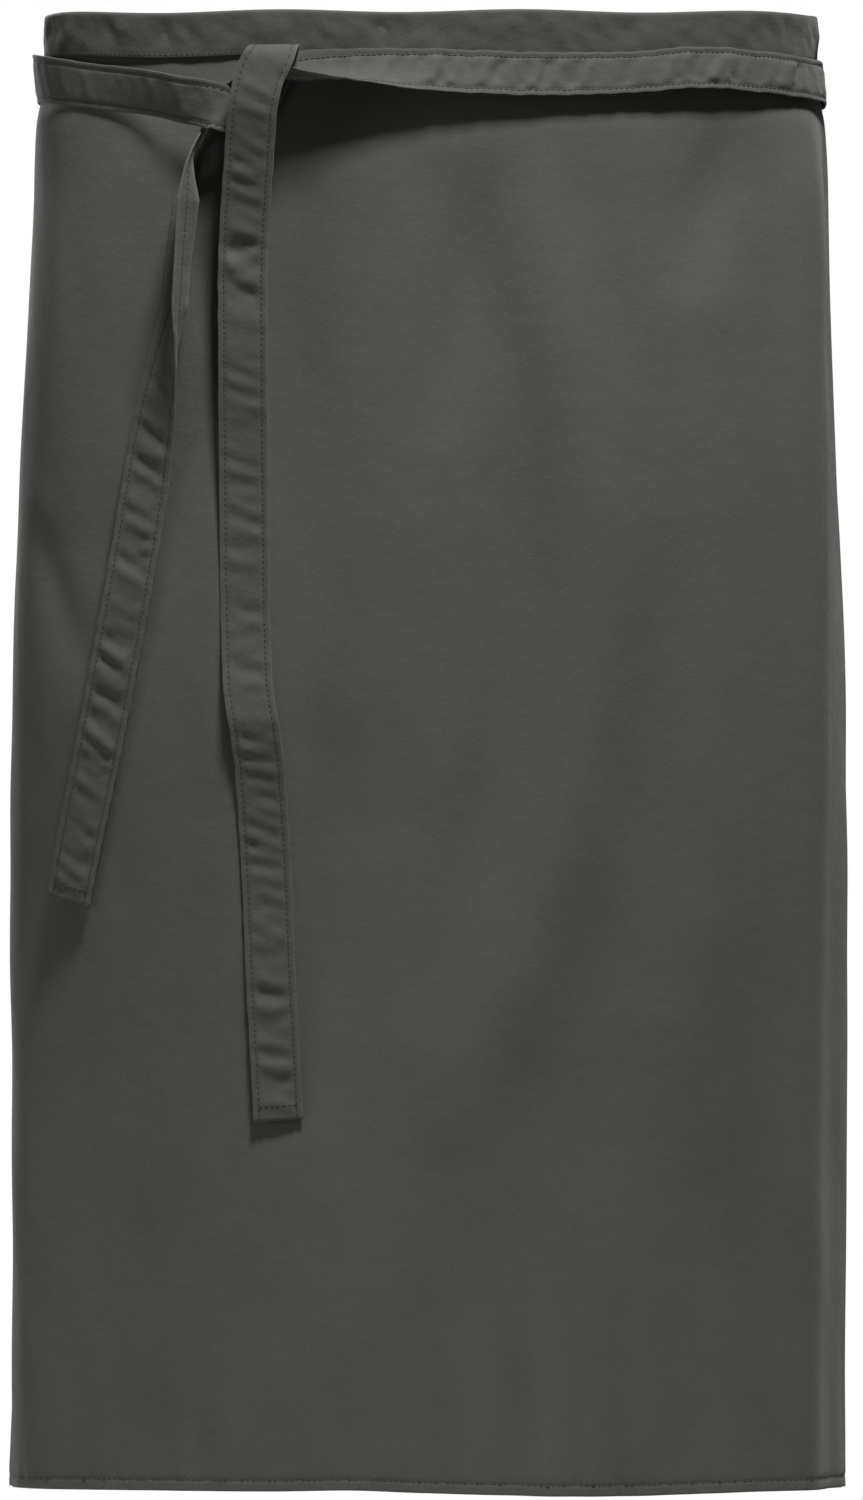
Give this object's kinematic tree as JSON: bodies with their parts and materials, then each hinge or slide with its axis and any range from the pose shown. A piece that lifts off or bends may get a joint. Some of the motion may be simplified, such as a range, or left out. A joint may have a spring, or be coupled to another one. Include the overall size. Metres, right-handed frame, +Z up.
{
  "type": "waist apron",
  "caption": "Long bistro waist apron in its worn shape: a plain twill panel on a folded waistband, open at the back, with ties that cross behind and are half-knotted in front",
  "frame": {"origin": "middle of the waist at half the waistband's height, inside the hollow that the body fills", "axes": "+Z up along the hanging panel, -Y to the front where the ties are knotted, +X to the right of someone who looks at the front"},
  "size_m": [0.4587, 0.2774, 0.8011],
  "materials": {
    "panel_twill": "dark warm grey cotton and polyester twill, matt",
    "band_twill": "the same twill folded and stitched, lightly puckered",
    "tie_twill": "the same twill as a flat tie, puckered by its edge stitching"
  },
  "bodies": {
    "root": {"apron_panel": "panel_twill", "waistband": "band_twill", "hem_bottom": "panel_twill", "hem_left": "panel_twill", "hem_right": "panel_twill", "tie_left": "tie_twill", "tie_right": "tie_twill"}
  },
  "joints": []
}
